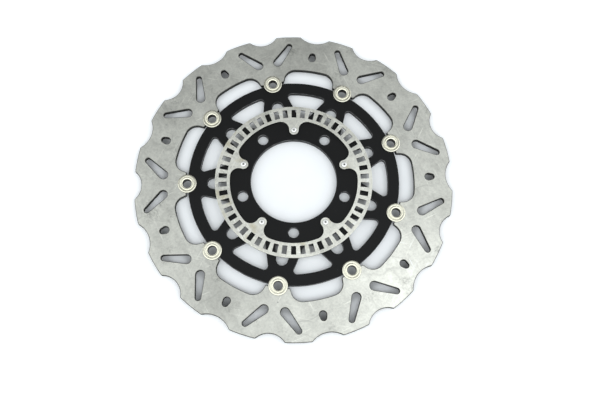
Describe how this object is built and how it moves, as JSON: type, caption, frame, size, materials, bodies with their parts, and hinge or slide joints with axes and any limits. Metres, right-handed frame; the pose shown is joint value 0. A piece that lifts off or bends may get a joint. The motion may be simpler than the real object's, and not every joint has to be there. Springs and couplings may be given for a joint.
{
  "type": "floating brake disc",
  "caption": "Floating wave brake disc: a slotted steel ring hung on a black spoked carrier by bobbins, with a slotted speed-sensor ring riveted to the carrier.",
  "frame": {"origin": "centre of the hub bore on the carrier's rear face, which seats on the wheel hub", "axes": "+Z along the wheel axle to the front side that carries the sensor ring, +Y through one sensor ring rivet, +X completes the right-handed frame"},
  "size_m": [0.3194, 0.32, 0.0124],
  "materials": {
    "ring_steel": "satin, ground flat, faint scratches",
    "carrier_black": "black anodised, fine matt grain",
    "sensor_steel": "satin, punched, faint straw stains",
    "rivet_aluminium": "bright",
    "bobbin_plated": "turned, straw-tinted plating",
    "washer_steel": "satin",
    "spring_steel": "satin",
    "clip_steel": "phosphated, dull"
  },
  "bodies": {
    "carrier": {"carrier": "carrier_black", "tone_ring": "sensor_steel", "tone_ring_rivets": "rivet_aluminium"},
    "spring_set": {"wave_washers": "spring_steel"},
    "brake_ring": {"brake_ring": "ring_steel"},
    "bobbin_1": {"bobbin_1": "bobbin_plated", "flat_washer_1": "washer_steel", "circlip_1": "clip_steel"},
    "bobbin_2": {"bobbin_2": "bobbin_plated", "flat_washer_2": "washer_steel", "circlip_2": "clip_steel"},
    "bobbin_3": {"bobbin_3": "bobbin_plated", "flat_washer_3": "washer_steel", "circlip_3": "clip_steel"},
    "bobbin_4": {"bobbin_4": "bobbin_plated", "flat_washer_4": "washer_steel", "circlip_4": "clip_steel"},
    "bobbin_5": {"bobbin_5": "bobbin_plated", "flat_washer_5": "washer_steel", "circlip_5": "clip_steel"},
    "bobbin_6": {"bobbin_6": "bobbin_plated", "flat_washer_6": "washer_steel", "circlip_6": "clip_steel"},
    "bobbin_7": {"bobbin_7": "bobbin_plated", "flat_washer_7": "washer_steel", "circlip_7": "clip_steel"},
    "bobbin_8": {"bobbin_8": "bobbin_plated", "flat_washer_8": "washer_steel", "circlip_8": "clip_steel"},
    "bobbin_9": {"bobbin_9": "bobbin_plated", "flat_washer_9": "washer_steel", "circlip_9": "clip_steel"}
  },
  "joints": [
    {"name": "ring_play", "type": "hinge", "parent": "carrier", "child": "spring_set", "pos_m": [0, 0, 0], "axis": [0, 0, 1], "range_deg": [-0.1, 0.1]},
    {"name": "ring_float", "type": "slide", "parent": "spring_set", "child": "brake_ring", "axis": [0, 0, 1], "range_m": [-0.0004, 0.00004], "deforming": ["wave_washers"]},
    {"name": "bobbin_1_spin", "type": "hinge", "parent": "carrier", "child": "bobbin_1", "pos_m": [-0.02225, 0.10466, 0], "axis": [0, 0, 1], "continuous": true},
    {"name": "bobbin_2_spin", "type": "hinge", "parent": "carrier", "child": "bobbin_2", "pos_m": [-0.08432, 0.06588, 0], "axis": [0, 0, 1], "continuous": true},
    {"name": "bobbin_3_spin", "type": "hinge", "parent": "carrier", "child": "bobbin_3", "pos_m": [-0.10693, -0.00373, 0], "axis": [0, 0, 1], "continuous": true},
    {"name": "bobbin_4_spin", "type": "hinge", "parent": "carrier", "child": "bobbin_4", "pos_m": [-0.07952, -0.0716, 0], "axis": [0, 0, 1], "continuous": true},
    {"name": "bobbin_5_spin", "type": "hinge", "parent": "carrier", "child": "bobbin_5", "pos_m": [-0.01489, -0.10596, 0], "axis": [0, 0, 1], "continuous": true},
    {"name": "bobbin_6_spin", "type": "hinge", "parent": "carrier", "child": "bobbin_6", "pos_m": [0.0567, -0.09074, 0], "axis": [0, 0, 1], "continuous": true},
    {"name": "bobbin_7_spin", "type": "hinge", "parent": "carrier", "child": "bobbin_7", "pos_m": [0.10176, -0.03306, 0], "axis": [0, 0, 1], "continuous": true},
    {"name": "bobbin_8_spin", "type": "hinge", "parent": "carrier", "child": "bobbin_8", "pos_m": [0.09921, 0.04008, 0], "axis": [0, 0, 1], "continuous": true},
    {"name": "bobbin_9_spin", "type": "hinge", "parent": "carrier", "child": "bobbin_9", "pos_m": [0.05023, 0.09448, 0], "axis": [0, 0, 1], "continuous": true}
  ]
}
